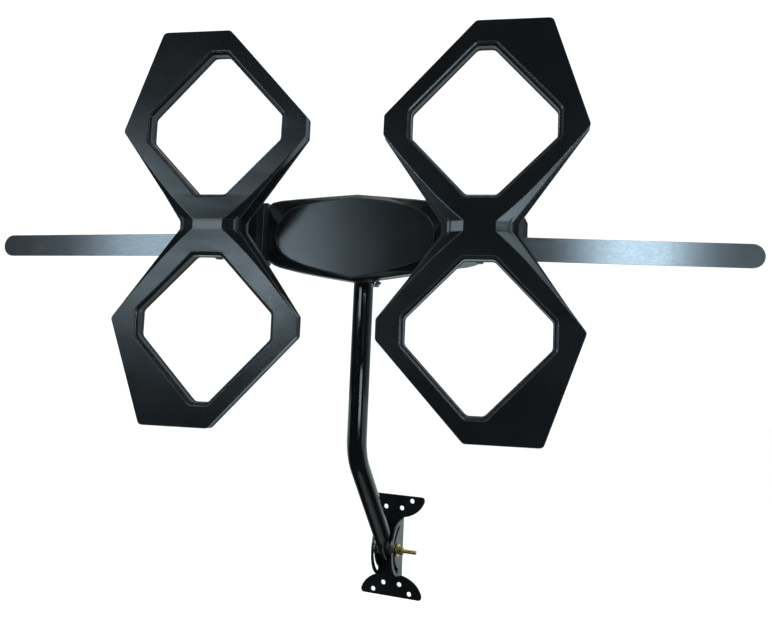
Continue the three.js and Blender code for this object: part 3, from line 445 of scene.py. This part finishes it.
def ring(build, z, radius):
    """One ring of vertices, where z and radius may be functions of the angle."""
    points = []
    for step in range(SIDES):
        angle = FULL_TURN * step / SIDES
        reach = radius(angle) if callable(radius) else radius
        height = z(angle) if callable(z) else z
        points.append(build.verts.new((reach * math.cos(angle), reach * math.sin(angle), height)))
    return points


def loft(node, rows, place, through=False, ends=None):
    """The piece that stands for a CAD node, lofted along its own Z through rows of (z, radius).
    With through its last row joins its first, as round a bore. Otherwise a fan closes each end,
    its middle at the heights in ends or else at the end rows' own."""
    build = bmesh.new()
    loops = [ring(build, z, radius) for z, radius in rows]
    pairs = list(zip(loops, loops[1:]))
    if through:
        pairs.append((loops[-1], loops[0]))
    for low, high in pairs:
        for k in range(SIDES):
            j = (k + 1) % SIDES
            build.faces.new((low[k], low[j], high[j], high[k]))
    if not through:
        for loop, z in zip((loops[0], loops[-1]), ends or (rows[0][0], rows[-1][0])):
            hub = build.verts.new((0, 0, z))
            for k in range(SIDES):
                build.faces.new((loop[k], loop[(k + 1) % SIDES], hub))
    bmesh.ops.recalc_face_normals(build, faces=build.faces)
    bmesh.ops.scale(build, vec=(MM, MM, MM), verts=build.verts)
    bmesh.ops.transform(build, matrix=place, verts=build.verts)
    mesh = bpy.data.meshes.new("fine_" + node)
    build.to_mesh(mesh)
    build.free()
    mesh.shade_smooth()
    mesh.set_sharp_from_angle(angle=SHARP_ANGLE)
    mesh.materials.append(SLOTS[SLOT_OF[node]])
    piece = bpy.data.objects.new("fine_" + node, mesh)
    SCENE.collection.objects.link(piece)
    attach(piece, BODY_OF[node])
    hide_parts(node)


def thread(z0, z1, major, pitch, depth, start=True, end=True):
    """Rows of a helical thread from z0 to z1, chamfered at its start and its end where asked."""
    rows = []
    count = max(2, int(abs(z1 - z0) / pitch * ROWS_PER_PITCH))
    for i in range(count + 1):
        z = z0 + (z1 - z0) * i / count
        near = min(abs(z - z0) if start else math.inf, abs(z1 - z) if end else math.inf)
        cap = major - depth + near * THREAD_CHAMFER

        def radius(angle, z=z, cap=cap):
            saw = abs(((z / pitch - angle / FULL_TURN) % 1.0) * 2 - 1)
            return min(cap, major - depth * saw)

        rows.append((z, radius))
    return rows


def hexagon(across, limit):
    """Radius of a hexagon by angle, its corners turned down to the limit."""
    sector = FULL_TURN / 6

    def radius(angle):
        return min(limit, across / 2 / math.cos((angle + sector / 2) % sector - sector / 2))

    return radius


def hex_rows(z0, z1, across):
    """Rows of a hexagon head or nut with both ends chamfered at about 30 degrees."""
    flat = across * 0.475
    low = [(z0 + depth, hexagon(across, flat + growth)) for depth, growth in HEX_CHAMFER]
    high = [(z1 - depth, hexagon(across, flat + growth)) for depth, growth in reversed(HEX_CHAMFER)]
    return low + high


def hex_bolt(node, place, head, length, threaded, across, radius, pitch):
    """Head from 0 down to -head, plain shank from 0, thread on the last stretch."""
    rows = hex_rows(-head, 0, across)
    rows += [(0, radius + FILLET), (FILLET, radius), (length - threaded, radius)]
    rows += thread(length - threaded, length, radius, pitch, pitch * 0.55, start=False)
    loft(node, rows, place)


def nut(node, place, height, across, radius, pitch):
    """Hexagon nut from 0 to height, threaded right through."""
    bore = thread(height, 0, radius + pitch * 0.3, pitch, pitch * 0.5, start=False, end=False)
    mouth = radius + COUNTERSINK
    rows = hex_rows(0, height, across) + [(height, mouth)] + bore + [(0, mouth)]
    loft(node, rows, place, through=True)


def pan_screw(node, place, head_radius, head, radius, length):
    """Pan head on top of z = 0 with a cross recess, self-tapping thread below it."""
    recess_arm = head_radius * 0.13  # half an arm's width
    recess_reach = head_radius * 0.62

    def top(share):
        """The row of the head's top at a share of its radius."""
        reach = head_radius * share
        crown = head * (1 - 0.32 * share ** 4)
        depth = head * 0.62 * (1 - share)

        def height(angle):
            x, y = abs(reach * math.cos(angle)), abs(reach * math.sin(angle))
            recessed = min(x, y) < recess_arm and reach < recess_reach
            return crown - depth if recessed else crown

        return height, reach

    def pointed(z, radius_at):
        """A row of the shank, narrowed towards the screw's point."""
        return z, lambda angle: min(radius_at(angle), 0.12 + (z + length) * 0.55)

    shank = thread(-length, -0.4, radius, SCREW_PITCH, radius * 0.28, end=False)
    rows = [pointed(*row) for row in shank]
    rows += [(0, radius), (0, head_radius * 0.94), (0.15, head_radius)]
    rows += [top(share) for share in (0.99, 0.93, 0.84, 0.74, 0.66, 0.60, 0.5, 0.4, 0.3, 0.2, 0.1)]
    loft(node, rows, place, ends=(-length, head * 0.40))


def axis_at(x, y, z, way, base=HEAD):
    """A place at (x, y, z) millimetres whose own Z runs along way, in the base frame."""
    turn = Vector(way).to_track_quat("Z", "Y").to_matrix().to_4x4()
    return base @ Matrix.Translation((x / 1000, y / 1000, z / 1000)) @ turn


# ---------------------------------------------------------------- where the fasteners are
# Places are in the head's frame, apart from the pivot's, which are in the part's own.
PIVOT_Y = -24.2
PIVOT_HEAD = 4.1
HUB_X = 152
HINGE_Y = 36
HINGE_SEAT_Z = -31.3  # under the arm, where the bolt's head bears
HINGE_NUT_Z = 19.8
CLAMP_X = 25
CLAMP_SEAT_Y = 105.1
STRIP_SWEEP = math.radians(5.6)
STRIP_ROOT = (HUB_X, 28, -18.4)
STRIP_SCREW_ALONG = 34  # from the root along the strip
STRIP_SCREW_OUT = 17.2  # from the root to the rear, square to the strip
ARM_SCREW = (130.4, 47.5, 8.5)  # on the arm's slanted face
ARM_FACE_WAY = (-0.8, -0.6)
ARM_SCREW_SUNK = 0.8
PANEL_SCREWS = ((28, 214, 8.2), (-92, 112, 10.4), (28, -214, 8.2), (-92, -112, 10.4))  # x, z, length
PANEL_SCREW_Y = 17.5
HOUSING_SCREWS = ((-84, 26), (84, 26), (-84, -22), (84, -22))  # x, z
HOUSING_SCREW_Y = 105.7
BOARD_SCREW_X = 42
BOARD_SCREW_Y = 93.9
JACK_X = 24.5
JACK_Y = 99.4
JACK_SEAT_Z = -56
JACK_NUT_Z = -53
JACK_PITCH = 0.79


def pivot_fasteners():
    """The bolt through the ears and the flattened mast, and its nut, both along X."""
    low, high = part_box("pivot_bolt")
    seat = low.x * 1000 + PIVOT_HEAD
    place = axis_at(seat, PIVOT_Y, 0, (1, 0, 0), Matrix())
    length = (high.x - low.x) * 1000 - PIVOT_HEAD
    hex_bolt("pivot_bolt", place, head=PIVOT_HEAD, length=length, threaded=30, **M6)
    low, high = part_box("pivot_nut")
    place = axis_at(low.x * 1000, PIVOT_Y, 0, (1, 0, 0), Matrix())
    nut("pivot_nut", place, height=(high.x - low.x) * 1000, **M6)


def side_fasteners(side, name):
    """Everything that is screwed on one side; side is 1 on the right and -1 on the left."""
    hub = side * HUB_X
    upright = (0, 0, 1)
    rearward = (0, 1, 0)
    place = axis_at(hub, HINGE_Y, HINGE_SEAT_Z, upright)
    hex_bolt("hinge_bolt_" + name, place, head=3.4, length=57.3, threaded=16, **M5)
    nut("hinge_nut_" + name, axis_at(hub, HINGE_Y, HINGE_NUT_Z, upright), height=4.0, **M5)
    place = axis_at(side * CLAMP_X, CLAMP_SEAT_Y, 0, rearward)
    hex_bolt("clamp_bolt_" + name, place, head=4.2, length=69.4, threaded=40, **M6)

    along = Vector((math.cos(STRIP_SWEEP), math.sin(STRIP_SWEEP), 0))
    out = Vector((-math.sin(STRIP_SWEEP), math.cos(STRIP_SWEEP), 0))
    seat = Vector(STRIP_ROOT) + along * STRIP_SCREW_ALONG + out * STRIP_SCREW_OUT
    place = axis_at(side * seat.x, seat.y, seat.z, (side * out.x, out.y, 0))
    pan_screw("strip_screw_" + name, place, head_radius=4.0, head=2.2, radius=2.0, length=19.6)

    x, y, z = ARM_SCREW
    way_x, way_y = ARM_FACE_WAY
    x -= ARM_SCREW_SUNK * way_x
    y -= ARM_SCREW_SUNK * way_y
    place = axis_at(side * x, y, z, (side * way_x, way_y, 0))
    pan_screw("arm_screw_" + name, place, head_radius=3.0, head=2.4, radius=1.5, length=8.2)

    for i, (x, z, length) in enumerate(PANEL_SCREWS):
        place = axis_at(side * (HUB_X + x), PANEL_SCREW_Y, z, rearward)
        pan_screw(
            f"panel_screw_{name}_{i + 1}", place,
            head_radius=2.8, head=1.8, radius=1.2, length=length,
        )


def housing_fasteners():
    """The four screws that close the housing and the two that hold the circuit board."""
    for i, (x, z) in enumerate(HOUSING_SCREWS):
        place = axis_at(x, HOUSING_SCREW_Y, z, (0, 1, 0))
        pan_screw(
            f"housing_screw_{i + 1}", place,
            head_radius=3.2, head=2.0, radius=1.6, length=23.7,
        )
    for i, x in enumerate((-BOARD_SCREW_X, BOARD_SCREW_X)):
        place = axis_at(x, BOARD_SCREW_Y, 0, (0, 1, 0))
        pan_screw(
            f"board_screw_{i + 1}", place,
            head_radius=2.8, head=1.8, radius=1.35, length=13.9,
        )


def coaxial_jack():
    """The threaded jack under the housing, hollow for its insulator, and its nut."""
    socket = [(9.0, 0.6), (9.0, 3.6), (0.25, 3.6), (0.0, 3.8), (0.0, 4.3)]
    barrel = thread(0.0, 13.4, 4.78, JACK_PITCH, 0.42, end=False)
    flange = [(13.6, 4.4), (13.6, 5.7), (15.4, 5.7)]
    loft("coax_jack", socket + barrel + flange, axis_at(JACK_X, JACK_Y, JACK_SEAT_Z, (0, 0, 1)))
    place = axis_at(JACK_X, JACK_Y, JACK_NUT_Z, (0, 0, 1))
    nut("coax_jack_nut", place, height=3.0, across=12.5, radius=4.9, pitch=JACK_PITCH)


pivot_fasteners()
side_fasteners(1, "right")
side_fasteners(-1, "left")
housing_fasteners()
coaxial_jack()

# ---------------------------------------------------------------- floor, world and lights
FLOOR_Z = -0.62  # clear of the antenna when its mast is tilted right down
FLOOR_RADIUS = 14.0
DIM = 0.008  # how bright the floor looks in reflections from the front
BRIGHT_SPOT = (0.05, -0.09, 0.0)  # on the floor, the middle of what reflects brightly
AIM = Vector((0.0, -0.25, 0.38))  # what the lights point at
COOL = (0.70, 0.88, 1.0)
WHITE = (1, 1, 1)


def stage_floor():
    """A white floor. What gloss reflects of it is dim, but for a spot under the antenna and the
    floor's far part behind the antenna."""
    look = Shader("floor_white")
    cloud = look.noise(0.8, 3.0)
    colour = look.mix(look.span(cloud, 0.3, 0.7), (0.90, 0.90, 0.90), (0.93, 0.93, 0.93))
    look.set(Base_Color=colour, Roughness=0.9, Specular_IOR_Level=0.0)
    split = look.add("ShaderNodeSeparateXYZ")
    look.link(look.place, split.inputs[0])
    aside = look.times(look.math("ABSOLUTE", split.outputs["X"]), 0.6)
    rear = look.span(look.plus(split.outputs["Y"], aside), 1.0, 2.6, DIM, 0.80)
    spot = look.add("ShaderNodeVectorMath", operation="DISTANCE")
    look.link(look.place, spot.inputs[0])
    spot.inputs[1].default_value = BRIGHT_SPOT
    near = look.span(spot.outputs["Value"], 0.14, 0.30, 0.50, DIM)
    shade = look.add("ShaderNodeEmission")
    shade.inputs["Color"].default_value = (0.80, 0.95, 0.95, 1)
    look.link(look.math("MAXIMUM", near, rear), shade.inputs["Strength"])
    mix = look.add("ShaderNodeMixShader")
    look.link(look.add("ShaderNodeLightPath").outputs["Is Glossy Ray"], mix.inputs[0])
    look.link(look.bsdf.outputs[0], mix.inputs[1])
    look.link(shade.outputs[0], mix.inputs[2])
    look.link(mix.outputs[0], look.out.inputs["Surface"])
    mesh = bpy.data.meshes.new("floor")
    build = bmesh.new()
    bmesh.ops.create_circle(build, cap_ends=True, radius=FLOOR_RADIUS, segments=96)
    build.to_mesh(mesh)
    build.free()
    mesh.materials.append(look.material)
    floor = bpy.data.objects.new("floor", mesh)
    floor.location = (0, 0, FLOOR_Z)
    SCENE.collection.objects.link(floor)


def stage_world():
    """White all round as background and soft light; what gloss reflects is dim in front."""
    world = bpy.data.worlds.new("studio")
    world.use_nodes = True
    SCENE.world = world
    tree = world.node_tree
    tree.nodes.clear()
    add, link = tree.nodes.new, tree.links.new
    out = add("ShaderNodeOutputWorld")
    white = add("ShaderNodeBackground")
    white.inputs["Color"].default_value = (1, 1, 1, 1)
    white.inputs["Strength"].default_value = 1.12
    mirrored = add("ShaderNodeBackground")
    mirrored.inputs["Color"].default_value = (0.72, 0.90, 1.0, 1)
    ramp = add("ShaderNodeMapRange")
    ramp.interpolation_type = "SMOOTHSTEP"
    limits = {"From Min": -0.25, "From Max": 0.65, "To Min": 0.007, "To Max": 0.45}
    for key, number in limits.items():
        ramp.inputs[key].default_value = number
    where = add("ShaderNodeTexCoord")
    split = add("ShaderNodeSeparateXYZ")
    link(where.outputs["Generated"], split.inputs[0])
    link(split.outputs["Y"], ramp.inputs["Value"])
    link(ramp.outputs[0], mirrored.inputs["Strength"])
    path = add("ShaderNodeLightPath")
    mix = add("ShaderNodeMixShader")
    link(path.outputs["Is Glossy Ray"], mix.inputs[0])
    link(white.outputs[0], mix.inputs[1])
    link(mirrored.outputs[0], mix.inputs[2])
    link(mix.outputs[0], out.inputs["Surface"])


def softbox(name, azimuth, elevation, distance, width, height, watts, colour):
    """A rectangular light; azimuth 0 is straight in front of the wall, positive to +X."""
    around, above = math.radians(azimuth), math.radians(elevation)
    flat = math.cos(above)
    way = Vector((math.sin(around) * flat, -math.cos(around) * flat, math.sin(above)))
    data = bpy.data.lights.new(name, "AREA")
    data.shape = "RECTANGLE"
    data.size = width
    data.size_y = height
    data.energy = watts
    data.color = colour
    light = bpy.data.objects.new(name, data)
    light.location = AIM + way * distance
    light.rotation_euler = (-way).to_track_quat("-Z", "Y").to_euler()
    SCENE.collection.objects.link(light)


# name, azimuth and elevation in degrees, distance, width and height in metres, watts, colour
LIGHTS = (
    ("key_left", -20, 9, 2.4, 1.36, 0.80, 14.5, COOL),
    ("edge_front", -8.5, 5, 2.4, 0.022, 0.60, 1.7, COOL),
    ("strip_right", 40.5, 9.6, 2.4, 0.34, 0.40, 4.6, COOL),
    ("fill_low", 48.4, -7.7, 1.64, 0.30, 0.36, 2.6, COOL),
    ("fill_high", 51.5, 30, 2.14, 0.40, 0.45, 2.4, COOL),
    ("edge_right", 58, 3, 2.4, 0.035, 0.60, 3.4, COOL),
    ("top", 150, 70, 2.6, 2.4, 2.4, 12, WHITE),
    ("back_left", -125, 20, 2.8, 0.8, 1.2, 18, COOL),
    ("back_right", 140, 20, 2.8, 0.8, 1.4, 16, COOL),
)

stage_floor()
stage_world()
for light in LIGHTS:
    softbox(*light)
